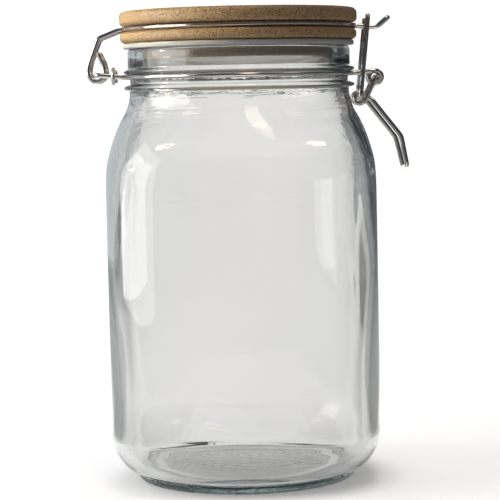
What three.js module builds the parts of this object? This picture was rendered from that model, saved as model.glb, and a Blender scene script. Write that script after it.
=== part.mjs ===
import * as THREE from 'three';

// Glass storage jar with a turned wooden lid that is held by a sprung wire clasp.
// Millimetres, +Z up, Z = 0 is the plane the foot stands on. The lid's hinge is at -X, the clasp at +X.

// The jar's axis stands a little left of the middle, so the box with all its wires is centred on X.
const AXIS_X = -4.05;

// Glass: a rounded square body on a round foot, with a round neck and mouth.
const GLASS_DIRECTIONS = 60;
const ROUND = 2;
const BODY_SQUARENESS = 3.4;
const INNER_SQUARENESS = 3.3;
const BODY_HALF_WIDTH = 56.7;
const BODY_BOTTOM_Z = 20;
const BODY_TOP_Z = 125.5;
const WALL = 3.5;
const FOOT_R = 46.4;
const FOOT_TOP_Z = 4.3;
const NECK_R = 46.4;
const NECK_BOTTOM_Z = 158.5;
const GROOVE_R = 46;
const RIDGE_R = 48.7;
const LOWER_RIDGE_Z = 166;
const UPPER_RIDGE_Z = 172.7;
const FINISH_R = 46.9;
const RIM_Z = 182.1;
const MOUTH_R = 41.5;
const FLOOR_Z = 6.5;
const PUSH_UP_Z = 1.2;
const PUSH_UP_R = 28.7;

// Lid: one turned piece with two flanges, a groove for its wire and a plug that enters the mouth.
const LID_SEGMENTS = 48;
const LID_TOP_Z = 198;
const LID_R = 50;
const LOWER_FLANGE_R = 49.8;
const LOWER_FLANGE_Z = 184.9;
const LID_GROOVE_BOTTOM_Z = 189.3;
const LID_GROOVE_TOP_Z = 192;
const LID_GROOVE_R = 45.5;
const PLUG_R = 40.1;
const PLUG_BOTTOM_Z = 178.1;

// Seal: a flat silicone ring between the lower flange and the rim.
const SEAL_R = 48.6;
const SEAL_HOLE_R = 40.4;
const SEAL_BOTTOM_Z = 182.4;
const SEAL_TOP_Z = 184.6;

// Wires: round polished steel, bent cold.
const WIRE_R = 0.95;
const WIRE_SIDES = 4;
const TIE_WIRE_R = 0.7;
const TIE_SIDES = 3;
const BEND_STEP = Math.PI / 8;
const RING_STEPS = 46;
const COIL_PITCH = 2.1;

// Hinge at the left: the neck wire's bracket carries a pin, and the lid wire's two eyes turn on it.
const LID_RING_R = 46.9;
const LID_RING_Z = 190.65;
const NECK_RING_R = 47.3;
const NECK_RING_Z = 170.5;
const HINGE_X = -59.4;
const HINGE_Z = 171.8;
const BRACKET_Y = 9;
const EYE_Y = 6.5;
const TIE_X = -52.5;
const TIE_Z = 171.2;
const TIE_HALF_WIDTH = 10.95;
const TIE_HALF_HEIGHT = 3.2;

// Clasp at the right: the lever turns in the neck wire's coils and pulls the link down over the lid's tongue.
const TONGUE_Y = 4.8;
const LEVER_X = 57.2;
const LEVER_Z = 168.7;
const LINK_X = 50.5;
const LINK_Z = 160.1;
const COIL_Y = 4.6;
const COIL_R = 2.75;
const ARM_Y = 9.05;
const LOOP_Y = 6.95;
const LOOP_R = 2.4;
const HANDLE_Y = 8.2;
const HANDLE_SKEW = 1.3;
const LINK_Y = 11.3;
const CROSSBAR_X = 54.1;
const CROSSBAR_Z = 194.2;

const glassMaterial = new THREE.MeshStandardMaterial({
  color: 0xdfe3df,
  roughness: 0.05,
  transparent: true,
  opacity: 0.35,
});
const bambooMaterial = new THREE.MeshStandardMaterial({ color: 0xb98a52, roughness: 0.5 });
const sealMaterial = new THREE.MeshStandardMaterial({ color: 0xc9cbc8, roughness: 0.6 });
const steelMaterial = new THREE.MeshStandardMaterial({ color: 0xc8cacb, metalness: 1, roughness: 0.2 });

// Distance from the axis to the wall of a rounded square, in one direction. Squareness 2 is a circle.
function wallDistance(direction, halfWidth, squareness) {
  const across = Math.abs(Math.cos(direction)) ** squareness;
  const along = Math.abs(Math.sin(direction)) ** squareness;
  return halfWidth / (across + along) ** (1 / squareness);
}

// A closed skin over rings listed from the bottom centre, up the outside, over the rim and down inside.
// Each ring is [z, half width, squareness]. The two ends close on the axis.
function ringedSolid(rings, startZ, endZ) {
  const corners = [0, 0, startZ];
  for (const [z, halfWidth, squareness] of rings) {
    for (let i = 0; i < GLASS_DIRECTIONS; i++) {
      const direction = (2 * Math.PI * i) / GLASS_DIRECTIONS;
      const distance = wallDistance(direction, halfWidth, squareness);
      corners.push(distance * Math.cos(direction), distance * Math.sin(direction), z);
    }
  }
  corners.push(0, 0, endZ);
  const last = corners.length / 3 - 1;
  const faces = [];
  for (let i = 0; i < GLASS_DIRECTIONS; i++) {
    const next = (i + 1) % GLASS_DIRECTIONS;
    faces.push(0, 1 + next, 1 + i);
    for (let ring = 0; ring < rings.length - 1; ring++) {
      const low = 1 + ring * GLASS_DIRECTIONS;
      const high = low + GLASS_DIRECTIONS;
      faces.push(low + i, low + next, high + next);
      faces.push(low + i, high + next, high + i);
    }
    const top = 1 + (rings.length - 1) * GLASS_DIRECTIONS;
    faces.push(top + i, top + next, last);
  }
  const geometry = new THREE.BufferGeometry();
  geometry.setAttribute('position', new THREE.Float32BufferAttribute(corners, 3));
  geometry.setIndex(faces);
  geometry.computeVertexNormals();
  return geometry;
}

// The curve between the foot and the straight walls, as a quarter of an ellipse.
function heelRings(startZ, startHalfWidth, endZ, endHalfWidth, endSquareness, steps) {
  const rings = [];
  for (let i = 0; i <= steps; i++) {
    const turn = (Math.PI / 2) * (i / steps);
    const rise = 1 - Math.cos(turn);
    const squareness = ROUND + (endSquareness - ROUND) * rise ** 0.6;
    const halfWidth = startHalfWidth + (endHalfWidth - startHalfWidth) * Math.sin(turn);
    rings.push([startZ + (endZ - startZ) * rise, halfWidth, squareness]);
  }
  return rings;
}

function glassGeometry() {
  const outside = [
    [PUSH_UP_Z, PUSH_UP_R, ROUND],
    [0.5, 30.5, ROUND],
    [0, 36.5, ROUND],
    [0, 43.2, ROUND],
    [0.6, 45.1, ROUND],
    [1.9, 46.2, ROUND],
    [3.4, FOOT_R, ROUND],
    ...heelRings(FOOT_TOP_Z, FOOT_R - 0.4, BODY_BOTTOM_Z, BODY_HALF_WIDTH, BODY_SQUARENESS, 6),
    [BODY_TOP_Z, BODY_HALF_WIDTH, BODY_SQUARENESS],
    [133, 56.4, 3.15],
    [138.5, 55.4, 2.9],
    [143.5, 54, 2.65],
    [148.5, 52.2, 2.4],
    [152.7, 50.2, 2.2],
    [156, 48.2, 2.06],
    [NECK_BOTTOM_Z, NECK_R, ROUND],
    [LOWER_RIDGE_Z - 1.6, NECK_R, ROUND],
    [LOWER_RIDGE_Z - 0.8, RIDGE_R - 0.7, ROUND],
    [LOWER_RIDGE_Z, RIDGE_R, ROUND],
    [LOWER_RIDGE_Z + 0.8, RIDGE_R - 0.7, ROUND],
    [LOWER_RIDGE_Z + 1.8, GROOVE_R, ROUND],
    [UPPER_RIDGE_Z - 0.9, GROOVE_R, ROUND],
    [UPPER_RIDGE_Z - 0.5, RIDGE_R - 0.6, ROUND],
    [UPPER_RIDGE_Z, RIDGE_R, ROUND],
    [UPPER_RIDGE_Z + 0.8, RIDGE_R - 0.7, ROUND],
    [UPPER_RIDGE_Z + 1.7, FINISH_R, ROUND],
    [RIM_Z - 1.3, FINISH_R, ROUND],
    [RIM_Z - 0.4, FINISH_R - 0.4, ROUND],
    [RIM_Z, FINISH_R - 1.5, ROUND],
  ];
  const innerHalfWidth = BODY_HALF_WIDTH - WALL;
  const inside = [
    [RIM_Z, MOUTH_R + 1.4, ROUND],
    [RIM_Z - 0.5, MOUTH_R + 0.3, ROUND],
    [RIM_Z - 1.6, MOUTH_R, ROUND],
    [164, MOUTH_R + 0.3, ROUND],
    [157.6, MOUTH_R + 1.6, ROUND],
    [153.4, 45.8, 2.1],
    [147.5, 48.8, 2.4],
    [141.5, 51, 2.7],
    [134.5, 52.6, 3],
    [BODY_TOP_Z, innerHalfWidth, INNER_SQUARENESS],
  ];
  const floor = heelRings(FLOOR_Z + 0.6, 40.5, BODY_BOTTOM_Z + 4, innerHalfWidth, INNER_SQUARENESS, 6).reverse();
  return ringedSolid([...outside, ...inside, ...floor, [FLOOR_Z, 30, ROUND]], PUSH_UP_Z, FLOOR_Z);
}

// A turned piece about the Z axis from a profile of [radius, z].
function turned(profile) {
  const points = profile.map(([radius, z]) => new THREE.Vector2(radius, z));
  return new THREE.LatheGeometry(points, LID_SEGMENTS).rotateX(Math.PI / 2);
}

// A wire's centre line with uneven steps: short round the bends, long on the straights.
class BentLine extends THREE.Curve {
  constructor(points) {
    super();
    this.points = points;
  }

  getPointAt(u) {
    return this.points[Math.round(u * (this.points.length - 1))].clone();
  }

  getTangentAt(u) {
    const i = Math.round(u * (this.points.length - 1));
    const before = this.points[Math.max(i - 1, 0)];
    const after = this.points[Math.min(i + 1, this.points.length - 1)];
    const towards = after.clone().sub(this.points[i]).normalize();
    const from = this.points[i].clone().sub(before).normalize();
    return towards.add(from).normalize();
  }
}

// Corners are [x, y, z] or [x, y, z, bend radius]. A corner with a radius becomes an arc.
function roundedLine(corners) {
  const at = corners.map(([x, y, z]) => new THREE.Vector3(x, y, z));
  const points = [];
  corners.forEach(([, , , radius], i) => {
    if (!radius) {
      points.push(at[i]);
      return;
    }
    const back = at[i - 1].clone().sub(at[i]).normalize();
    const ahead = at[i + 1].clone().sub(at[i]).normalize();
    const turn = Math.PI - back.angleTo(ahead);
    const reach = radius * Math.tan(turn / 2);
    const centre = back.clone().add(ahead).normalize().multiplyScalar(radius / Math.cos(turn / 2)).add(at[i]);
    const first = back.multiplyScalar(reach).add(at[i]).sub(centre);
    const axis = first.clone().cross(ahead.multiplyScalar(reach).add(at[i]).sub(centre)).normalize();
    const steps = Math.max(1, Math.ceil(turn / BEND_STEP));
    for (let step = 0; step <= steps; step++) {
      points.push(first.clone().applyAxisAngle(axis, (turn * step) / steps).add(centre));
    }
  });
  return points;
}

function wire(corners, radius = WIRE_R, sides = WIRE_SIDES) {
  const points = roundedLine(corners);
  const section = new THREE.Shape();
  section.absarc(0, 0, radius, 0, 2 * Math.PI);
  return new THREE.ExtrudeGeometry(section, {
    curveSegments: sides,
    steps: points.length - 1,
    extrudePath: new BentLine(points),
  });
}

// Part of a level circle about the jar's axis, between two angles in radians.
function ringCorners(radius, z, from, to, steps) {
  return Array.from({ length: steps + 1 }, (_, i) => {
    const angle = from + ((to - from) * i) / steps;
    return [radius * Math.cos(angle), radius * Math.sin(angle), z];
  });
}

// A coil about a line along Y. Angles in degrees are measured from +X towards +Z.
function coilCorners(x, z, radius, fromAngle, toAngle, fromY, toY, steps) {
  return Array.from({ length: steps + 1 }, (_, i) => {
    const angle = THREE.MathUtils.degToRad(fromAngle + ((toAngle - fromAngle) * i) / steps);
    const y = fromY + ((toY - fromY) * i) / steps;
    return [x + radius * Math.cos(angle), y, z + radius * Math.sin(angle)];
  });
}

// One wire whose second half mirrors its first half across the XZ plane.
function mirrored(corners) {
  const back = corners.map(([x, y, z, radius]) => [x, -y, z, radius]).reverse();
  return [...corners, ...back];
}

// The ring's two halves leave it at side wires that stand apart by their own Y, left and right.
function halfRing(radius, z, leftY, rightY) {
  const gap = 3.2 / radius;
  const left = Math.PI + Math.asin(leftY / radius) + gap;
  const right = 2 * Math.PI - Math.asin(rightY / radius) - gap;
  return ringCorners(radius, z, left, right, RING_STEPS / 2);
}

function lidWireGeometry() {
  const leftX = -Math.sqrt(LID_RING_R ** 2 - EYE_Y ** 2);
  const rightX = Math.sqrt(LID_RING_R ** 2 - TONGUE_Y ** 2);
  const eye = [
    [-58.6, -EYE_Y, 180.6],
    [-56.7, -EYE_Y, 176.4],
    [-56, -EYE_Y, 172.6],
    [-56.6, -EYE_Y, 170.8],
    [-57.9, -EYE_Y, 169.6],
    [-59.4, -EYE_Y, 169.1],
    [-60.9, -EYE_Y, 169.4],
    [-62.2, -EYE_Y, 170.7],
    [-62.9, -EYE_Y, 172.4],
    [-63, -EYE_Y, 174.3],
    [-62.4, -EYE_Y, 177],
  ];
  const leg = [
    [-58.4, -EYE_Y, 186.9, 2.5],
    [-49.9, -EYE_Y, 190.3, 4],
    [leftX, -EYE_Y, LID_RING_Z, 2],
  ];
  const tongue = [
    [rightX, -TONGUE_Y, LID_RING_Z, 2],
    [50.6, -TONGUE_Y, 190.4],
    [54.2, -TONGUE_Y, 189.8],
    [58.6, -TONGUE_Y, 189.9, 3],
    [62.6, -TONGUE_Y, 193.3, 3.4],
  ];
  return wire(mirrored([...eye, ...leg, ...halfRing(LID_RING_R, LID_RING_Z, EYE_Y, TONGUE_Y), ...tongue]));
}

function neckWireGeometry() {
  const outerY = COIL_Y + COIL_PITCH / 2;
  const innerY = COIL_Y - COIL_PITCH / 2;
  const leftX = -Math.sqrt(NECK_RING_R ** 2 - BRACKET_Y ** 2);
  const rightX = Math.sqrt(NECK_RING_R ** 2 - outerY ** 2);
  const coil = coilCorners(LEVER_X, LEVER_Z, COIL_R, -285, 90, innerY, outerY, 16);
  const bar = [
    [55, outerY, LEVER_Z + COIL_R - 0.15],
    [rightX, outerY, NECK_RING_Z, 2],
  ];
  const half = halfRing(NECK_RING_R, NECK_RING_Z, BRACKET_Y, outerY);
  const ring = half.map(([x, y, z]) => [x, -y, z]).reverse();
  const bracket = [
    [leftX, BRACKET_Y, NECK_RING_Z, 2],
    [HINGE_X, BRACKET_Y, HINGE_Z, 2],
  ];
  return wire(mirrored([...coil, ...bar, ...ring, ...bracket]));
}

function tieLoopGeometry() {
  const flat = TIE_HALF_WIDTH - TIE_HALF_HEIGHT;
  const endGap = 0.2;
  return wire(
    [
      [TIE_X, endGap, TIE_Z - TIE_HALF_HEIGHT],
      [TIE_X, flat, TIE_Z - TIE_HALF_HEIGHT],
      ...roundEnd(flat, -90, 90),
      [TIE_X, -flat, TIE_Z + TIE_HALF_HEIGHT],
      ...roundEnd(-flat, 90, 270),
      [TIE_X, -endGap, TIE_Z - TIE_HALF_HEIGHT],
    ],
    TIE_WIRE_R,
    TIE_SIDES,
  );
}

function roundEnd(centreY, fromAngle, toAngle) {
  const steps = 8;
  return Array.from({ length: steps }, (_, i) => {
    const angle = THREE.MathUtils.degToRad(fromAngle + ((toAngle - fromAngle) * (i + 1)) / steps);
    return [TIE_X, centreY + TIE_HALF_HEIGHT * Math.cos(angle), TIE_Z + TIE_HALF_HEIGHT * Math.sin(angle)];
  });
}

// One side of the lever: the stub in the coil, the arm, the loop round the link's pin and the handle.
function leverSide(side, skew) {
  const arm = [
    [LEVER_X, side * 1.4, LEVER_Z],
    [LEVER_X, side * ARM_Y, LEVER_Z, 1.9],
  ];
  const loop = coilCorners(LINK_X, LINK_Z, LOOP_R, -38, -319, side * ARM_Y, side * LOOP_Y, 12);
  const handle = [
    [55.2 + 0.75 * skew, side * (LOOP_Y + 0.2), 158.5 + 0.65 * skew],
    [68.4 + 0.75 * skew, side * HANDLE_Y, 143.3 + 0.65 * skew, 8],
    [71.1 + 0.2 * skew, side * HANDLE_Y, 131.8 + skew, 4],
  ];
  return [...arm, ...loop, ...handle];
}

function leverGeometry() {
  const near = leverSide(-1, HANDLE_SKEW);
  const far = leverSide(1, -HANDLE_SKEW).reverse();
  return wire([...near, ...far]);
}

function linkGeometry() {
  return wire(
    mirrored([
      [LINK_X, -5.3, LINK_Z],
      [LINK_X, -LINK_Y, LINK_Z, 1.9],
      [CROSSBAR_X, -LINK_Y, CROSSBAR_Z, 3],
    ]),
  );
}

const lidProfile = [
  [0, PLUG_BOTTOM_Z],
  [PLUG_R - 1.2, PLUG_BOTTOM_Z],
  [PLUG_R, PLUG_BOTTOM_Z + 1.2],
  [PLUG_R, LOWER_FLANGE_Z],
  [LOWER_FLANGE_R - 1.2, LOWER_FLANGE_Z],
  [LOWER_FLANGE_R, LOWER_FLANGE_Z + 1.2],
  [LOWER_FLANGE_R, LID_GROOVE_BOTTOM_Z - 1.2],
  [LOWER_FLANGE_R - 1.2, LID_GROOVE_BOTTOM_Z],
  [LID_GROOVE_R, LID_GROOVE_BOTTOM_Z],
  [LID_GROOVE_R, LID_GROOVE_TOP_Z],
  [LID_R - 1, LID_GROOVE_TOP_Z],
  [LID_R, LID_GROOVE_TOP_Z + 1],
  [LID_R, LID_TOP_Z - 1.6],
  [LID_R - 0.6, LID_TOP_Z - 0.5],
  [LID_R - 1.8, LID_TOP_Z],
  [0, LID_TOP_Z],
];

const sealProfile = [
  [SEAL_HOLE_R, SEAL_BOTTOM_Z],
  [SEAL_R - 0.5, SEAL_BOTTOM_Z],
  [SEAL_R, SEAL_BOTTOM_Z + 0.6],
  [SEAL_R, SEAL_TOP_Z - 0.6],
  [SEAL_R - 0.5, SEAL_TOP_Z],
  [SEAL_HOLE_R, SEAL_TOP_Z],
  [SEAL_HOLE_R, SEAL_BOTTOM_Z],
];

const jar = new THREE.Group();
jar.position.x = AXIS_X;

function add(name, geometry, material) {
  const mesh = new THREE.Mesh(geometry, material);
  mesh.name = name;
  jar.add(mesh);
}

add('glass_jar', glassGeometry(), glassMaterial);
add('neck_wire', neckWireGeometry(), steelMaterial.clone());
add('tie_loop', tieLoopGeometry(), steelMaterial.clone());
add('bamboo_lid', turned(lidProfile), bambooMaterial);
add('seal', turned(sealProfile), sealMaterial);
add('lid_wire', lidWireGeometry(), steelMaterial.clone());
add('lever', leverGeometry(), steelMaterial.clone());
add('link', linkGeometry(), steelMaterial.clone());

const part = new THREE.Group();
part.add(jar);

export default part;
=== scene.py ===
from math import pi, radians

import bpy
import numpy as np
from mathutils import Matrix, Vector


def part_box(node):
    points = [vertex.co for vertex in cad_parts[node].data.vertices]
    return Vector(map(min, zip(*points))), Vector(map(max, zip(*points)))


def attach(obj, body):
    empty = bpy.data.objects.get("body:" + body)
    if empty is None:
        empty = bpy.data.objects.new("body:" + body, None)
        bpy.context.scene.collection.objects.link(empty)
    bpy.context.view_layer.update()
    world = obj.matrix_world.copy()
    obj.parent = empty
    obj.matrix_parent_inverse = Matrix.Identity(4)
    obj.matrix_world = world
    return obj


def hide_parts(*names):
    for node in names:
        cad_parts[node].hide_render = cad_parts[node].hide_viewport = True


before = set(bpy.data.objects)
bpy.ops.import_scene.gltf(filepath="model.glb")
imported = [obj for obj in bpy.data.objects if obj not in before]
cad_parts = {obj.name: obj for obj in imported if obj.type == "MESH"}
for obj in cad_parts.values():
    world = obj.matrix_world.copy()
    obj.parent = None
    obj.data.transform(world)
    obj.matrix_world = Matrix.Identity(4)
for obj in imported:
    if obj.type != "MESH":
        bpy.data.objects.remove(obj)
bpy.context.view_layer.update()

glass_low, glass_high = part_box("glass_jar")

# The jar's own axis runs up through the middle of the glass, a little left of the middle of the whole object,
# because the clasp reaches further out than the hinge. Heights are counted from the plane the foot stands on.
AXIS_X = (glass_low[0] + glass_high[0]) / 2
MM = 0.001

# Camera: a long lens about arm's length and a bit away, level with the jar's shoulder and tipped down a little.
# It was held slightly out of level, so the jar leans to the left by a degree.
CAMERA_DISTANCE = 0.85
CAMERA_HEIGHT = 0.163
AIM = Vector((AXIS_X + 0.0031, 0, 0.0966))
CAMERA_ROLL = radians(-1.2)
VIEW_WIDTH = 0.2118

camera_data = bpy.data.cameras.new("camera")
camera_data.sensor_width = 36
camera_data.lens = camera_data.sensor_width * CAMERA_DISTANCE / VIEW_WIDTH
camera = bpy.data.objects.new("camera", camera_data)
bpy.context.scene.collection.objects.link(camera)
eye = Vector((AIM.x, -CAMERA_DISTANCE, CAMERA_HEIGHT))
looking = (AIM - eye).to_track_quat("-Z", "Y").to_matrix().to_4x4()
camera.matrix_world = Matrix.Translation(eye) @ looking @ Matrix.Rotation(CAMERA_ROLL, 4, "Z")
bpy.context.scene.camera = camera

# Studio: a thin white sheet, glowing as if lit from behind and as wide as the view, lies on a pale table and curves
# up behind the jar. Under and round the jar's foot its glow is dimmed to a painted shadow. The room on both sides of
# it is darker, and that is what draws grey edges on clear glass.
PAPER_HALF_WIDTH = 0.113
PAPER_FRONT = -0.3
PAPER_BACK = 0.9
PAPER_HEIGHT = 1.0
PAPER_BEND = 0.4
PAPER_GLOW = 0.58
# The glow's colour in the painted shadow under the jar, and the distances in metres from the origin where the painted
# shadow begins to fade and where it is gone.
PAPER_PAINTED_SHADOW = (0.38, 0.38, 0.38, 1)
PAINTED_SHADOW_INNER_R = 0.042
PAINTED_SHADOW_OUTER_R = 0.07
TABLE_SIZE = 5
TABLE_DROP = 0.0005


class Value:
    """A shader socket that adds Math nodes when it is used in an expression."""

    def __init__(self, finish, socket):
        self.finish = finish
        self.socket = socket

    def _math(self, operation, first, second):
        return self.finish.node("ShaderNodeMath", {"operation": operation}, {0: first, 1: second})["Value"]

    def __add__(self, other):
        return self._math("ADD", self, other)

    def __sub__(self, other):
        return self._math("SUBTRACT", self, other)

    def __rsub__(self, other):
        return self._math("SUBTRACT", other, self)

    def __mul__(self, other):
        return self._math("MULTIPLY", self, other)

    def clipped(self):
        """The value, kept between 0 and 1."""
        return self._math("MINIMUM", self._math("MAXIMUM", self, 0.0), 1.0)

    def band(self, low, high):
        """0 below low, 1 above high and a soft step between them."""
        settings = {"interpolation_type": "SMOOTHSTEP"}
        inputs = {"Value": self, "From Min": low, "From Max": high, "To Min": 0.0, "To Max": 1.0}
        return self.finish.node("ShaderNodeMapRange", settings, inputs)["Result"]

    __radd__ = __add__
    __rmul__ = __mul__


class Finish:
    """A material whose nodes are added by one method and joined by expressions."""

    def __init__(self, name):
        self.material = bpy.data.materials.new(name)
        self.material.use_nodes = True
        self.tree = self.material.node_tree
        self.tree.nodes.clear()

    def node(self, kind, settings=None, inputs=None):
        """Adds a node, sets its settings, then fills its sockets. Returns its outputs by name."""
        made = self.tree.nodes.new(kind)
        for key, setting in (settings or {}).items():
            setattr(made, key, setting)
        for key, value in (inputs or {}).items():
            if isinstance(value, Value):
                self.tree.links.new(value.socket, made.inputs[key])
            else:
                made.inputs[key].default_value = value
        return {output.name: Value(self, output) for output in made.outputs if output.enabled}

    def place(self, scale=(1, 1, 1)):
        """The object's own coordinates in metres, stretched."""
        where = self.node("ShaderNodeTexCoord")["Object"]
        return self.node("ShaderNodeMapping", {}, {"Vector": where, "Scale": scale})["Vector"]

    def height(self):
        """The height above the plane the foot stands on, in metres."""
        return self.node("ShaderNodeSeparateXYZ", {}, {"Vector": self.place()})["Z"]

    def noise(self, where, scale, detail, roughness=0.5):
        inputs = {"Vector": where, "Scale": scale, "Detail": detail, "Roughness": roughness}
        return self.node("ShaderNodeTexNoise", {}, inputs)["Fac"]

    def mix(self, amount, first, second):
        """A colour between two colours, or linked colours, by amount."""
        inputs = {0: amount, 6: first, 7: second}
        return self.node("ShaderNodeMix", {"data_type": "RGBA"}, inputs)["Result"]

    def bump(self, relief, distance, strength):
        inputs = {"Height": relief, "Distance": distance, "Strength": strength}
        return self.node("ShaderNodeBump", {}, inputs)["Normal"]

    def done(self, inputs, volume=None):
        """Gives the material one surface with these inputs and, for glass, a volume."""
        outputs = {"Surface": self.node("ShaderNodeBsdfPrincipled", {}, inputs)["BSDF"]}
        if volume:
            outputs["Volume"] = volume
        self.node("ShaderNodeOutputMaterial", {}, outputs)
        return self.material


def matt_material(name, first, second, glow=0.0, painted_shadow=(1, 1, 1, 1)):
    """A matt surface with a faint cloudiness between two colours. With a glow it is a thin sheet that glows as if lit
    from behind, and under and round the jar's foot the glow is dimmed to the last colour given, a painted shadow."""
    finish = Finish(name)
    cloud = finish.noise(finish.place(), 9.0, 3.0)
    inputs = {"Base Color": finish.mix(cloud, first, second), "Roughness": 0.9, "Specular IOR Level": 0.1}
    if glow:
        away = finish.node("ShaderNodeVectorMath", {"operation": "LENGTH"}, {0: finish.place()})["Value"]
        # Painted shadow: the glow is dimmed under and round the jar's foot.
        painted_shadow_under_jar = 1.0 - away.band(PAINTED_SHADOW_INNER_R, PAINTED_SHADOW_OUTER_R)
        inputs["Emission Color"] = finish.mix(painted_shadow_under_jar, (1, 1, 1, 1), painted_shadow)
        inputs["Emission Strength"] = glow
    return finish.done(inputs)


def sheet_mesh(name, rows):
    """An open surface through a grid of points: point j of row i joins point j + 1 and the same two of row i + 1."""
    count, across = rows.shape[:2]
    low = np.arange(count - 1)[:, None] * across + np.arange(across - 1)
    faces = np.stack([low, low + 1, low + across + 1, low + across], -1).reshape(-1, 4)
    mesh = bpy.data.meshes.new(name)
    mesh.from_pydata(rows.reshape(-1, 3).tolist(), [], faces.tolist())
    mesh.polygons.foreach_set("use_smooth", np.ones(len(faces), bool))
    made = bpy.data.objects.new(name, mesh)
    bpy.context.scene.collection.objects.link(made)
    return made


def carried_across(along, up, half_width):
    """A line in depth and height, carried sideways to both sides of the view's middle."""
    across = np.linspace(-1, 1, 9)
    x = AIM.x + np.outer(half_width, across)
    y, z = (np.repeat(np.asarray(line)[:, None], len(across), 1) for line in (along, up))
    return np.stack([x, y, z], -1)


quarter = np.linspace(0, pi / 2, 24)
paper_depth = np.concatenate([[PAPER_FRONT], PAPER_BACK - PAPER_BEND + PAPER_BEND * np.sin(quarter), [PAPER_BACK]])
paper_rise = np.concatenate([[0], PAPER_BEND - PAPER_BEND * np.cos(quarter), [PAPER_HEIGHT]])
paper_width = PAPER_HALF_WIDTH * (1 + paper_depth / CAMERA_DISTANCE)
paper = sheet_mesh("paper", carried_across(paper_depth, paper_rise, paper_width))
white_paper = matt_material("white_paper", (0.8, 0.8, 0.795, 1), (0.83, 0.83, 0.825, 1), PAPER_GLOW, PAPER_PAINTED_SHADOW)
paper.data.materials.append(white_paper)

table_depth = np.linspace(-TABLE_SIZE / 2, TABLE_SIZE / 2, 9)
table_drop = np.full(len(table_depth), -TABLE_DROP)
table_width = np.full(len(table_depth), TABLE_SIZE / 2)
table = sheet_mesh("table", carried_across(table_depth, table_drop, table_width))
table.data.materials.append(matt_material("pale_table", (0.64, 0.66, 0.67, 1), (0.68, 0.7, 0.71, 1)))


def area_light(name, where, towards, width, height, power, colour=(1, 1, 1), spread=180):
    """A soft lamp, so many metres wide and high, of so many watts, aimed at a point. Spread is in degrees."""
    data = bpy.data.lights.new(name, "AREA")
    data.shape = "RECTANGLE"
    data.size = width
    data.size_y = height
    data.energy = power
    data.color = colour
    data.spread = radians(spread)
    light = bpy.data.objects.new(name, data)
    light.location = where
    light.rotation_euler = (Vector(towards) - Vector(where)).to_track_quat("-Z", "Y").to_euler()
    bpy.context.scene.collection.objects.link(light)


area_light("window", (-0.75, -0.18, 0.34), (0, -0.18, 0.34), 0.75, 0.66, 4.8, (1.0, 0.995, 0.98))
area_light("left_lamp", (-0.95, -0.08, 0.5), (0, 0, 0.2), 0.12, 0.12, 0.13, (1.0, 0.93, 0.66), spread=18)
area_light("table_light", (0.02, 0.1, 1.0), (0.02, 0.06, 0), 0.5, 0.5, 0.3, spread=90)
area_light("back_wash", (0, 0.2, 0.95), (0, 0.9, 0.3), 0.6, 0.25, 1.2, spread=120)
area_light("left_wall", (-0.72, 0.87, 0.3), (0, 0, 0.15), 1.1, 0.8, 1.5, (0.93, 0.98, 1.0))
area_light("ceiling_lamp", (0.12, -0.5, 1.1), (0, 0, 0.15), 0.2, 0.6, 1.6, (1.0, 0.8, 0.66))
area_light("lamp_on_the_right", (0.72, -0.35, 0.95), (0, 0, 0.15), 0.3, 0.04, 0.4, (1.0, 0.8, 0.64))
area_light("lamp_on_the_left", (-0.72, -0.4, 0.95), (0, 0, 0.15), 0.3, 0.04, 0.4, (1.0, 0.8, 0.64))

world = bpy.data.worlds.new("room")
world.use_nodes = True
world.node_tree.nodes["Background"].inputs["Color"].default_value = (0.058, 0.069, 0.084, 1)
world.node_tree.nodes["Background"].inputs["Strength"].default_value = 1.0
bpy.context.scene.world = world
bpy.context.scene.view_settings.view_transform = "Standard"

# Glass jar: clear soda-lime glass pressed and blown in a mould. The body is a rounded square that stands on a
# round foot and narrows to a round neck with two ridges, a groove for the wire and a flat rim for the seal.
ROUND = 2
BODY_SQUARENESS = 3.4
INNER_SQUARENESS = 3.3
BODY_HALF_WIDTH = (glass_high[1] - glass_low[1]) / 2 / MM
BODY_BOTTOM_Z = 20
BODY_TOP_Z = 125.5
WALL = 3.5
FOOT_R = 46.4
FOOT_TOP_Z = 4.3
NECK_R = 46.4
GROOVE_R = 46
RIDGE_R = 48.7
LOWER_RIDGE_Z = 166
UPPER_RIDGE_Z = 172.7
RIM_R = 46.9
RIM_Z = glass_high[2] / MM
MOUTH_R = 41.5
FLOOR_Z = 4.7
PUSH_UP_Z = 1.2
PUSH_UP_R = 28.7
HEEL_ROWS = 7


def heel(start_z, start_width, end_z, end_width, end_squareness, first_turn=0.0):
    """Part of an ellipse from a round foot out to the walls, as [z, half width, squareness]. For t from the first
    turn f to 90 degrees it rises by (cos f - cos t) / cos f of its height and reaches out by (sin t - sin f) /
    (1 - sin f) of its width, and it turns from round to square by rise^0.6. A first turn above zero leaves the flat
    beginning of the ellipse out, so that the curve starts on a slope."""
    turn = np.linspace(first_turn, pi / 2, HEEL_ROWS)
    rise = (np.cos(first_turn) - np.cos(turn)) / np.cos(first_turn)
    reach = (np.sin(turn) - np.sin(first_turn)) / (1 - np.sin(first_turn))
    return np.stack(
        [
            start_z + (end_z - start_z) * rise,
            start_width + (end_width - start_width) * reach,
            ROUND + (end_squareness - ROUND) * rise**0.6,
        ],
        -1,
    )


def ridge(z, bottom_r, top_r):
    """A rounded bead round the neck, 3.3 mm high, as [z, half width, squareness]."""
    return [
        [z - 1.5, bottom_r, ROUND],
        [z - 0.9, RIDGE_R - 0.9, ROUND],
        [z - 0.45, RIDGE_R - 0.2, ROUND],
        [z, RIDGE_R, ROUND],
        [z + 0.5, RIDGE_R - 0.2, ROUND],
        [z + 1.1, RIDGE_R - 1.0, ROUND],
        [z + 1.8, top_r, ROUND],
    ]


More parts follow.
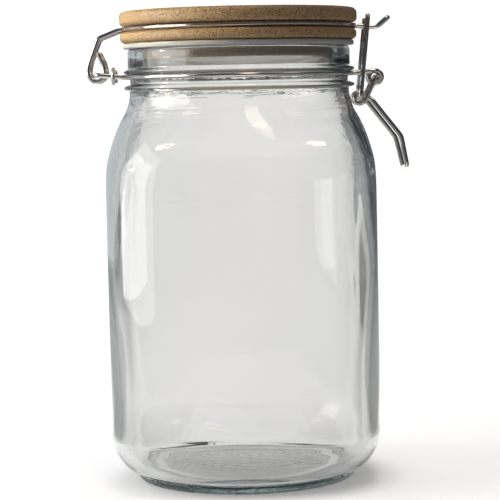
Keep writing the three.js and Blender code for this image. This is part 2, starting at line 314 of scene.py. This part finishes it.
def glass_rings():
    """The jar's section as [z, half width, squareness] from under the foot, up outside, over the rim, down inside."""
    outside = [
        [PUSH_UP_Z, 2, ROUND],
        [PUSH_UP_Z, PUSH_UP_R - 0.8, ROUND],
        [PUSH_UP_Z - 0.3, PUSH_UP_R + 0.4, ROUND],
        [0.4, 31, ROUND],
        [0.04, 36, ROUND],
        [0, 38, ROUND],
        [0, 42.6, ROUND],
        [0.25, 44.2, ROUND],
        [0.9, 45.5, ROUND],
        [1.9, 46.2, ROUND],
        [3.0, FOOT_R, ROUND],
        [3.7, FOOT_R - 0.2, ROUND],
    ]
    walls = [
        [BODY_BOTTOM_Z + 8, BODY_HALF_WIDTH, BODY_SQUARENESS],
        [72, BODY_HALF_WIDTH, BODY_SQUARENESS],
        [BODY_TOP_Z - 6, BODY_HALF_WIDTH, BODY_SQUARENESS],
    ]
    shoulder = [
        [BODY_TOP_Z, BODY_HALF_WIDTH - 0.02, BODY_SQUARENESS - 0.04],
        [133, 56.4, 3.15],
        [138.5, 55.4, 2.9],
        [143.5, 54, 2.65],
        [148.5, 52.2, 2.4],
        [152.7, 50.2, 2.2],
        [156, 48.3, 2.06],
        [158.6, 47.25, ROUND],
        [161.2, 46.6, ROUND],
        [163.6, NECK_R, ROUND],
    ]
    rim = [
        [UPPER_RIDGE_Z + 3, RIM_R, ROUND],
        [RIM_Z - 1.8, RIM_R, ROUND],
        [RIM_Z - 0.8, RIM_R - 0.15, ROUND],
        [RIM_Z - 0.2, RIM_R - 0.7, ROUND],
        [RIM_Z, RIM_R - 1.6, ROUND],
        [RIM_Z, MOUTH_R + 1.4, ROUND],
        [RIM_Z - 0.35, MOUTH_R + 0.5, ROUND],
        [RIM_Z - 1.1, MOUTH_R + 0.05, ROUND],
    ]
    inner_width = BODY_HALF_WIDTH - WALL
    inside = [
        [RIM_Z - 3, MOUTH_R, ROUND],
        [RIM_Z - 6, MOUTH_R + 0.5, ROUND],
        [RIM_Z - 10, MOUTH_R + 1.3, ROUND],
        [165, MOUTH_R + 1.7, ROUND],
        [160.5, MOUTH_R + 2.2, ROUND],
        [157, MOUTH_R + 3.2, ROUND],
        [153.4, 46.1, 2.1],
        [147.5, 48.8, 2.4],
        [141.5, 51, 2.7],
        [134.5, 52.6, 3],
        [BODY_TOP_Z, inner_width - 0.02, INNER_SQUARENESS - 0.04],
        [BODY_TOP_Z - 6, inner_width, INNER_SQUARENESS],
        [72, inner_width, INNER_SQUARENESS],
        [BODY_BOTTOM_Z + 10, inner_width, INNER_SQUARENESS],
    ]
    floor = [
        [FLOOR_Z + 0.1, 33, ROUND],
        [FLOOR_Z, 28, ROUND],
        [FLOOR_Z, 2, ROUND],
    ]
    return np.vstack(
        [
            outside,
            heel(FOOT_TOP_Z, FOOT_R + 0.3, BODY_BOTTOM_Z + 4, BODY_HALF_WIDTH, BODY_SQUARENESS, pi / 12),
            walls,
            shoulder,
            ridge(LOWER_RIDGE_Z, NECK_R, GROOVE_R),
            ridge(UPPER_RIDGE_Z, GROOVE_R, RIM_R),
            rim,
            inside,
            heel(FLOOR_Z + 0.3, 36.5, BODY_BOTTOM_Z + 3, inner_width, INNER_SQUARENESS)[::-1],
            floor,
        ]
    )


def through(points, each):
    """A smooth line through points: every coordinate is a cubic in the distance along the line, with the harmonic
    mean 2ab / (a + b) of the two slopes at a point, or none at a turning point, so it never swings past its points.
    Between two points p and q with slopes m and n it is p(2t^3 - 3t^2 + 1) + m(t^3 - 2t^2 + t) + q(3t^2 - 2t^3) +
    n(t^3 - t^2)."""
    length = np.concatenate([[0], np.cumsum(np.linalg.norm(np.diff(points[:, :2], axis=0), axis=1))])
    step = np.diff(length)[:, None]
    slope = np.diff(points, axis=0) / step
    product = slope[:-1] * slope[1:]
    total = slope[:-1] + slope[1:]
    middle = np.where(product > 0, 2 * product / np.where(total == 0, 1, total), 0)
    bend = np.vstack([slope[:1], middle, slope[-1:]])
    t = np.linspace(0, 1, each, endpoint=False)[None, :, None]
    start, stop = points[:-1, None], points[1:, None]
    first, last = bend[:-1, None] * step[:, None], bend[1:, None] * step[:, None]
    line = (
        start * (2 * t**3 - 3 * t**2 + 1)
        + first * (t**3 - 2 * t**2 + t)
        + stop * (3 * t**2 - 2 * t**3)
        + last * (t**3 - t**2)
    )
    return np.vstack([line.reshape(-1, points.shape[1]), points[-1:]])


def finished_piece(name, points, faces, material, body, nodes):
    """A smooth mesh from points in millimetres about the jar's axis, fixed to a body in place of CAD nodes."""
    mesh = bpy.data.meshes.new(name)
    mesh.from_pydata((points * MM + (AXIS_X, 0, 0)).tolist(), [], faces)
    mesh.polygons.foreach_set("use_smooth", np.ones(len(faces), bool))
    mesh.materials.append(material)
    made = bpy.data.objects.new(name, mesh)
    bpy.context.scene.collection.objects.link(made)
    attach(made, body)
    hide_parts(*nodes)


def closed_mesh(name, rows, material, body, nodes):
    """A closed skin through rows of points. Each row closes on itself, rows join in order, and a fan to the middle of
    the first and last row shuts the ends. It is turned to face outwards: the sum of a . (b x c) over its triangles,
    six times the volume inside, has to be above zero."""
    count, around = rows.shape[:2]
    points = np.vstack([rows.reshape(-1, 3), rows[0].mean(0)[None], rows[-1].mean(0)[None]])
    here = np.arange(around)
    after = (here + 1) % around
    low = np.arange(count - 1)[:, None] * around
    quads = np.stack([low + here, low + after, low + around + after, low + around + here], -1).reshape(-1, 4)
    first, last = count * around, count * around + 1
    top = (count - 1) * around
    fans = np.vstack(
        [
            np.stack([np.full(around, first), after, here], -1),
            np.stack([top + here, top + after, np.full(around, last)], -1),
        ]
    )
    a, b, c = points[np.vstack([quads[:, [0, 1, 2]], quads[:, [0, 2, 3]], fans])].transpose(1, 0, 2)
    if np.einsum("ij,ij->", a, np.cross(b, c)) < 0:
        quads, fans = quads[:, ::-1], fans[:, ::-1]
    finished_piece(name, points, quads.tolist() + fans.tolist(), material, body, nodes)


GLASS_SEGMENTS = 256
GLASS_ROWS_EACH = 5
INNER_WAVE = 0.2
OUTER_WAVE = 0.05


def glass_rows():
    """Rings of the section, each a superellipse: |x|^n + |y|^n = width^n. The walls are uneven, as blown glass is, in
    slow waves up and round the jar that fade out at the heel and the neck. At angle a and height z the inner wall
    moves by 0.2 (sin(3a + z/31 + 0.6) + 0.7 sin(5a - z/17 + 2) + 0.5 sin(8a + z/23)) mm and the outer one by
    0.05 (sin(4a + z/40 + 1) + 0.6 sin(7a - z/26) - 1) mm."""
    z, width, squareness = through(glass_rings(), GLASS_ROWS_EACH).T[:, :, None]
    angle = np.linspace(0, 2 * pi, GLASS_SEGMENTS, endpoint=False)[None]
    x_share, y_share = np.abs(np.cos(angle)) ** squareness, np.abs(np.sin(angle)) ** squareness
    distance = width / (x_share + y_share) ** (1 / squareness)
    inner = np.arange(len(z))[:, None] > np.argmax(z)
    on_wall = np.clip((z - 14) / 20, 0, 1) * np.clip((158 - z) / 20, 0, 1)
    wave = np.sin(3 * angle + z / 31 + 0.6) + 0.7 * np.sin(5 * angle - z / 17 + 2) + 0.5 * np.sin(8 * angle + z / 23)
    outer_wave = np.sin(4 * angle + z / 40 + 1) + 0.6 * np.sin(7 * angle - z / 26)
    distance = distance + on_wall * np.where(inner, INNER_WAVE * wave, OUTER_WAVE * outer_wave - OUTER_WAVE)
    return np.stack([distance * np.cos(angle), distance * np.sin(angle), z + 0 * angle], -1)


GRAIN_START = (0.118, 0.132)
WRINKLE_START = (0.148, 0.156)
WRINKLE_END = (0.161, 0.166)
STIPPLE_END = (0.0035, 0.0055)
RELIEF = 0.0003


def glass_material():
    """Clear glass with a faint grey-green cast in its thick edges. The surface has the slow ripple of moulded
    glass, a fine grain on the shoulder, chill wrinkles where the neck begins and a stippled foot. Each of the last
    three starts or ends between two heights, in metres."""
    finish = Finish("clear_glass")
    ripple = finish.noise(finish.place((1, 1, 0.45)), 42.0, 1.0)
    height = finish.height()
    grain = finish.noise(finish.place(), 420.0, 2.0) * height.band(*GRAIN_START)
    neck = height.band(*WRINKLE_START) * (1.0 - height.band(*WRINKLE_END))
    wrinkle = finish.noise(finish.place((45, 45, 420)), 1.0, 2.0, 0.6) * neck
    foot = 1.0 - height.band(*STIPPLE_END)
    stipple = finish.noise(finish.place((1, 1, 1.5)), 500.0, 2.0) * foot
    inputs = {
        "Base Color": (0.912, 0.898, 0.889, 1),
        "Roughness": 0.0,
        "IOR": 1.52,
        "Transmission Weight": 1.0,
        "Normal": finish.bump(ripple + grain * 0.35 + wrinkle * 2.2 + stipple * 4.0, RELIEF, 0.35),
    }
    depth = finish.node("ShaderNodeVolumeAbsorption", {}, {"Color": (0.69, 0.77, 0.77, 1), "Density": 48.0})
    return finish.done(inputs, depth["Volume"])


closed_mesh("glass_body", glass_rows(), glass_material(), "jar", ["glass_jar"])

# Neck wire: one steel wire bent cold round the groove under the upper ridge. At the left it makes a bracket whose
# end is the hinge pin, and at the clasp its two ends run out and coil into the eyes that the lever turns in.
WIRE_R = 1.02
WIRE_SIDES = 18
WIRE_STEP = 0.4
OFF_WIRE = (0.31, 0.55, 0.77)
ARC_STEP = 0.05
COIL_POINTS = 40
NECK_RING_R = 47.3
NECK_RING_Z = 170.5
HINGE_X = -59.4
HINGE_Z = 171.8
BRACKET_Y = 9
LEVER_X = 57.2
LEVER_Z = 168.7
COIL_Y = 4.6
COIL_R = 2.75
COIL_PITCH = 2.1
CORNER_GAP = 2.2


def arc(radius, z, start, stop):
    """Part of a level circle about the jar's axis, from one angle to another."""
    angle = np.linspace(start, stop, int(abs(stop - start) / ARC_STEP))
    return np.stack([radius * np.cos(angle), radius * np.sin(angle), np.full(len(angle), z)], -1)


def coil(x, z, radius, start, stop, start_y, stop_y):
    """Turns about a line along Y, with angles in degrees from +X towards +Z and an even advance along Y."""
    angle = np.radians(np.linspace(start, stop, COIL_POINTS))
    y = np.linspace(start_y, stop_y, COIL_POINTS)
    return np.stack([x + radius * np.cos(angle), y, z + radius * np.sin(angle)], -1)


def both_sides(half):
    """A wire whose second half mirrors its first across the jar's middle plane."""
    return np.vstack([half, (half * (1, -1, 1))[::-1]])


def bent_wire(corners, bend, radius=WIRE_R):
    """Rows of circles along a centre line: c + r (s cos a + o sin a), on two directions s and o square to the line,
    the first square also to a direction that no wire runs along. The line is the corner path averaged twice over
    the bend length, which rounds its corners as a cold bend does, and its ends are domed like ground wire ends."""
    length = np.concatenate([[0], np.cumsum(np.linalg.norm(np.diff(corners, axis=0), axis=1))])
    even = np.linspace(0, length[-1], int(length[-1] / WIRE_STEP))
    line = np.stack([np.interp(even, length, corners[:, k]) for k in range(3)], -1)
    window = int(bend / 2 / WIRE_STEP) * 2 + 1
    pad = window - 1
    reach = np.arange(pad, 0, -1)[:, None]
    before = line[0] - (line[1] - line[0]) * reach
    after = line[-1] + (line[-1] - line[-2]) * reach[::-1]
    line = np.vstack([before, line, after])
    box = np.ones(window) / window
    for _ in range(2):
        line = np.stack([np.convolve(line[:, k], box, "valid") for k in range(3)], -1)
    ahead = np.gradient(line, axis=0)
    ahead /= np.linalg.norm(ahead, axis=1, keepdims=True)
    dome = np.linspace(0, pi / 2, 6)[1:-1, None]
    centre = np.vstack(
        [line[0] - ahead[0] * radius * np.sin(dome[::-1]), line, line[-1] + ahead[-1] * radius * np.sin(dome)]
    )
    ahead = np.vstack([np.repeat(ahead[:1], len(dome), 0), ahead, np.repeat(ahead[-1:], len(dome), 0)])
    size = radius * np.concatenate([np.cos(dome[::-1, 0]), np.ones(len(line)), np.cos(dome[:, 0])])
    side = np.cross(ahead, OFF_WIRE)
    side /= np.linalg.norm(side, axis=1, keepdims=True)
    other = np.cross(ahead, side)
    angle = np.linspace(0, 2 * pi, WIRE_SIDES, endpoint=False)[None, :, None]
    return centre[:, None] + size[:, None, None] * (np.cos(angle) * side[:, None] + np.sin(angle) * other[:, None])


def steel_material():
    """Bright drawn steel: mirror-like, a little uneven, with soft handling marks."""
    finish = Finish("bright_steel")
    marks = finish.noise(finish.place(), 900.0, 3.0, 0.6)
    cloud = finish.noise(finish.place(), 120.0, 2.0)
    inputs = {
        "Base Color": finish.mix(cloud, (0.66, 0.625, 0.59, 1), (0.78, 0.755, 0.725, 1)),
        "Metallic": 1.0,
        "Roughness": 0.1 + 0.14 * cloud,
        "Normal": finish.bump(marks, 0.00002, 0.5),
    }
    return finish.done(inputs)


def neck_wire_corners():
    """The neck wire's path: the eye at the clasp, half the ring round the groove, the bracket, and back."""
    outer_y = COIL_Y + COIL_PITCH / 2
    inner_y = COIL_Y - COIL_PITCH / 2
    gap = CORNER_GAP / NECK_RING_R
    left = pi - np.arcsin(BRACKET_Y / NECK_RING_R)
    right = np.arcsin(outer_y / NECK_RING_R)
    half = np.vstack(
        [
            coil(LEVER_X, LEVER_Z, COIL_R, -285, 90, inner_y, outer_y),
            [[55, outer_y, LEVER_Z + COIL_R - 0.15], [NECK_RING_R * np.cos(right), outer_y, NECK_RING_Z]],
            arc(NECK_RING_R, NECK_RING_Z, right + gap, left - gap),
            [[NECK_RING_R * np.cos(left), BRACKET_Y, NECK_RING_Z]],
            [[HINGE_X, BRACKET_Y, HINGE_Z]],
        ]
    )
    return both_sides(half)


steel = steel_material()
closed_mesh("neck_ring", bent_wire(neck_wire_corners(), bend=2.0), steel, "jar", ["neck_wire"])

# Tie loop: a short piece of thinner steel wire, bent cold to an oval and closed round both arms of the bracket. It
# keeps the neck wire from springing open.
TIE_R = 0.7
TIE_X = -52.5
TIE_Z = 171.2
TIE_HALF_WIDTH = 10.95
TIE_HALF_HEIGHT = 3.2


def tie_corners():
    """A flat oval across the bracket, open by a hair at the bottom."""
    flat = TIE_HALF_WIDTH - TIE_HALF_HEIGHT
    turn = np.radians(np.linspace(-90, 90, 12))
    right = np.stack([0 * turn, flat + TIE_HALF_HEIGHT * np.cos(turn), TIE_HALF_HEIGHT * np.sin(turn)], -1)
    half = np.vstack([[[0, 0.3, -TIE_HALF_HEIGHT]], right, [[0, 0, TIE_HALF_HEIGHT]]])
    return both_sides(half) + (TIE_X, 0, TIE_Z)


closed_mesh("bracket_tie", bent_wire(tie_corners(), bend=1.0, radius=TIE_R), steel, "jar", ["tie_loop"])

# Bamboo lid: turned from one laminated bamboo blank and oiled. Two rounded flanges leave a groove for the lid wire,
# and the varnished plug below them reaches into the mouth. The plug's paler colour is painted light.
LID_TOP_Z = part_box("bamboo_lid")[1][2] / MM
LID_R = 50
LOWER_FLANGE_R = 49.8
LOWER_FLANGE_Z = 184.9
LID_GROOVE_BOTTOM_Z = 189.3
LID_GROOVE_TOP_Z = 192
LID_GROOVE_R = 45.5
PLUG_R = 40.1
PLUG_BOTTOM_Z = 178.1
CORNER_ROWS = 7
LID_SEGMENTS = 192


def rounded_section(corners):
    """A section of straight lines whose corners, given as [radius, z, rounding], are arcs that touch both lines. The
    arc from p to q about the middle m through the angle w is m + (sin((1 - t) w) (p - m) + sin(t w) (q - m)) / sin w.
    """
    corners = np.array(corners, float)
    rows = [corners[:1, :2]]
    for before, here, after in zip(corners[:-2], corners[1:-1], corners[2:]):
        back = (before - here)[:2] / np.linalg.norm((before - here)[:2])
        ahead = (after - here)[:2] / np.linalg.norm((after - here)[:2])
        turn = pi - np.arccos(np.clip(back @ ahead, -1, 1))
        reach = here[2] * np.tan(turn / 2)
        start, stop = here[:2] + back * reach, here[:2] + ahead * reach
        middle = here[:2] + (back + ahead) / np.linalg.norm(back + ahead) * here[2] / np.cos(turn / 2)
        share = np.linspace(0, 1, CORNER_ROWS)[:, None]
        slide = np.sin((1 - share) * turn) * (start - middle) + np.sin(share * turn) * (stop - middle)
        rows.append(middle + slide / np.sin(turn))
    rows.append(corners[-1:, :2])
    return np.vstack(rows)


def turned(section):
    """A section of [radius, z] carried round the jar's axis."""
    angle = np.linspace(0, 2 * pi, LID_SEGMENTS, endpoint=False)[None]
    radius, z = section.T[:, :, None]
    return np.stack([radius * np.cos(angle), radius * np.sin(angle), z + 0 * angle], -1)


LID_SECTION = [
    [0.5, PLUG_BOTTOM_Z, 0],
    [PLUG_R, PLUG_BOTTOM_Z, 1.2],
    [PLUG_R, LOWER_FLANGE_Z, 0.2],
    [LOWER_FLANGE_R, LOWER_FLANGE_Z, 1.9],
    [LOWER_FLANGE_R, LID_GROOVE_BOTTOM_Z, 1.6],
    [LID_GROOVE_R, LID_GROOVE_BOTTOM_Z, 0.3],
    [LID_GROOVE_R, LID_GROOVE_TOP_Z, 0.3],
    [LID_R, LID_GROOVE_TOP_Z, 1.6],
    [LID_R, LID_TOP_Z, 2.2],
    [0.5, LID_TOP_Z, 0],
]


PLUG_END = (0.181, 0.1845)


def bamboo_material():
    """Laminated bamboo. Strips about 18 mm wide differ a little in colour, fine fibres run along X, and short dark
    flecks lie among them. The plug is varnished, and painted light makes its colour paler and its flecks fainter."""
    finish = Finish("oiled_bamboo")
    fibre = finish.noise(finish.place((25, 800, 800)), 1.0, 4.0, 0.65)
    fleck = finish.noise(finish.place((1400, 2200, 2200)), 1.0, 1.0).band(0.49, 0.6)
    strip = finish.noise(finish.place((1.5, 55, 55)), 1.0, 0.0)
    cloud = finish.noise(finish.place(), 30.0, 2.0)
    tone = (fibre * 0.7 + strip * 0.4 + cloud * 0.3 - 0.2).clipped()
    colour = finish.mix(tone, (0.27, 0.15, 0.09, 1), (0.68, 0.465, 0.215, 1))
    # Painted light on the plug: its colour is lifted towards a pale tan and its flecks are thinned. The coat on it is
    # real varnish.
    plug_varnish_and_painted_light = 1.0 - finish.height().band(*PLUG_END)
    colour = finish.mix(plug_varnish_and_painted_light * 0.6, colour, (0.85, 0.68, 0.5, 1))
    colour = finish.mix(fleck * (0.75 - 0.5 * plug_varnish_and_painted_light), colour, (0.1, 0.05, 0.032, 1))
    inputs = {
        "Base Color": colour,
        "Roughness": 0.42 + 0.2 * fibre,
        "Coat Weight": plug_varnish_and_painted_light,
        "Coat Roughness": 0.08,
        "Normal": finish.bump(fibre - fleck * 0.5, 0.00012, 0.5),
    }
    return finish.done(inputs)


closed_mesh("lid", turned(rounded_section(LID_SECTION)), bamboo_material(), "lid", ["bamboo_lid"])

# Seal: a flat ring of milky silicone, cast in a mould. It is stretched over the plug, lies under the lower flange
# and is pressed onto the rim when the clasp is shut.
SEAL_R = 48.6
SEAL_HOLE_R = 40.4
SEAL_BOTTOM_Z = 182.4
SEAL_TOP_Z = 184.6
SEAL_SECTION = [
    [SEAL_HOLE_R + 1, SEAL_BOTTOM_Z, 0],
    [SEAL_R, SEAL_BOTTOM_Z, 0.8],
    [SEAL_R, SEAL_TOP_Z, 0.8],
    [SEAL_HOLE_R, SEAL_TOP_Z, 0.2],
    [SEAL_HOLE_R, SEAL_BOTTOM_Z, 0.2],
    [SEAL_HOLE_R + 1, SEAL_BOTTOM_Z, 0],
]


def ring_mesh(name, rows, material, body, nodes):
    """A closed ring: the section's rows close on each other, each row closes on itself, and it faces outwards."""
    rows = rows[:-1]
    count, around = rows.shape[:2]
    here = np.arange(around)
    after = (here + 1) % around
    low = np.arange(count)[:, None] * around
    high = (low + around) % (count * around)
    quads = np.stack([low + here, low + after, high + after, high + here], -1).reshape(-1, 4)
    points = rows.reshape(-1, 3)
    a, b, c, d = points[quads].transpose(1, 0, 2)
    if np.einsum("ij,ij->", a, np.cross(b, c)) + np.einsum("ij,ij->", a, np.cross(c, d)) < 0:
        quads = quads[:, ::-1]
    finished_piece(name, points, quads.tolist(), material, body, nodes)


def seal_material():
    """Milky silicone that lets some light into its edges, with a soft cast surface."""
    finish = Finish("milky_silicone")
    cloud = finish.noise(finish.place(), 160.0, 3.0)
    inputs = {
        "Base Color": finish.mix(cloud, (0.4, 0.39, 0.375, 1), (0.5, 0.49, 0.475, 1)),
        "Roughness": 0.34 + 0.12 * cloud,
        "Subsurface Weight": 0.35,
        "Subsurface Radius": (1.0, 1.0, 1.0),
        "Subsurface Scale": 0.002,
        "IOR": 1.41,
        "Normal": finish.bump(cloud, 0.00005, 0.4),
    }
    return finish.done(inputs)


ring_mesh("seal_ring", turned(rounded_section(SEAL_SECTION)), seal_material(), "lid", ["seal"])

# Lid wire: one steel wire in the lid's groove. At the hinge each end drops and folds round the pin in a narrow eye,
# and at the clasp the middle of the wire is a tongue with an upturned tip that the link hooks over.
LID_RING_R = 46.9
LID_RING_Z = 190.65
EYE_Y = 6.5
TONGUE_Y = 4.8


def lid_wire_corners():
    """The lid wire's path: the hinge eye, half the ring in the groove, the tongue, and back."""
    gap = CORNER_GAP / LID_RING_R
    left = pi - np.arcsin(EYE_Y / LID_RING_R)
    right = np.arcsin(TONGUE_Y / LID_RING_R)
    eye = [
        [-58.6, EYE_Y, 180.6],
        [-56.7, EYE_Y, 176.4],
        [-56, EYE_Y, 172.6],
        [-56.6, EYE_Y, 170.6],
        [-57.9, EYE_Y, 169.4],
        [-59.4, EYE_Y, 168.9],
        [-60.9, EYE_Y, 169.2],
        [-62.3, EYE_Y, 170.6],
        [-63, EYE_Y, 172.4],
        [-63.1, EYE_Y, 174.3],
        [-62.4, EYE_Y, 177],
        [-58.6, EYE_Y, 187],
        [-50, EYE_Y, 190.3],
        [LID_RING_R * np.cos(left), EYE_Y, LID_RING_Z],
    ]
    tongue = [
        [LID_RING_R * np.cos(right), TONGUE_Y, LID_RING_Z],
        [50.6, TONGUE_Y, 190.4],
        [54.2, TONGUE_Y, 189.8],
        [58.6, TONGUE_Y, 189.9],
        [62.8, TONGUE_Y, 193.5],
    ]
    half = np.vstack([eye, arc(LID_RING_R, LID_RING_Z, left - gap, right + gap), tongue])
    return both_sides(half)


closed_mesh("lid_ring", bent_wire(lid_wire_corners(), bend=2.0), steel, "lid", ["lid_wire"])

# Lever: one steel wire. Its two ends turn in the neck wire's eyes, each arm makes a loop for the link's pin, and
# the middle is the handle that is pressed down against the shoulder to close the jar.
LINK_X = 50.5
LINK_Z = 160.1
PIN_END_Y = 1.4
ARM_Y = 9.05
LOOP_Y = 6.95
LOOP_R = 2.4
HANDLE_Y = 8.2
HANDLE_TOP_X = 55.2
HANDLE_TOP_Z = 158.5
HANDLE_ELBOW_X = 66.9
HANDLE_ELBOW_Z = 143.3
HANDLE_TIP_X = 69.5
HANDLE_TIP_Z = 130.9
HANDLE_SKEW = 0.75


def lever_side(side):
    """One side of the lever, -1 in front and 1 at the back, from the eye to the middle of the handle. The handle is
    bent a little out of level, the front up and the back down."""
    skew = -side * HANDLE_SKEW
    return np.vstack(
        [
            [[LEVER_X, side * PIN_END_Y, LEVER_Z], [LEVER_X, side * ARM_Y, LEVER_Z]],
            coil(LINK_X, LINK_Z, LOOP_R, -38, -319, side * ARM_Y, side * LOOP_Y),
            [[HANDLE_TOP_X + 0.75 * skew, side * (LOOP_Y + 0.2), HANDLE_TOP_Z + 0.65 * skew]],
            [[HANDLE_ELBOW_X + 0.75 * skew, side * HANDLE_Y, HANDLE_ELBOW_Z + 0.65 * skew]],
            [[HANDLE_TIP_X + 0.2 * skew, side * HANDLE_Y, HANDLE_TIP_Z + skew]],
        ]
    )


lever_corners = np.vstack([lever_side(-1), lever_side(1)[::-1]])
closed_mesh("lever_wire", bent_wire(lever_corners, bend=2.0), steel, "lever", ["lever"])

# Link: one steel wire in an upside-down U. Its ends are pins in the lever's loops and its crossbar goes over the
# tongue, so the lever pulls the lid down as it closes.
LINK_PIN_Y = 5.3
LINK_Y = 11.3
CROSSBAR_X = 54.1
CROSSBAR_Z = 194.2

link_side = [[LINK_X, LINK_PIN_Y, LINK_Z], [LINK_X, LINK_Y, LINK_Z], [CROSSBAR_X, LINK_Y, CROSSBAR_Z]]
link_corners = both_sides(np.array(link_side))
closed_mesh("link_wire", bent_wire(link_corners, bend=2.4), steel, "link", ["link"])
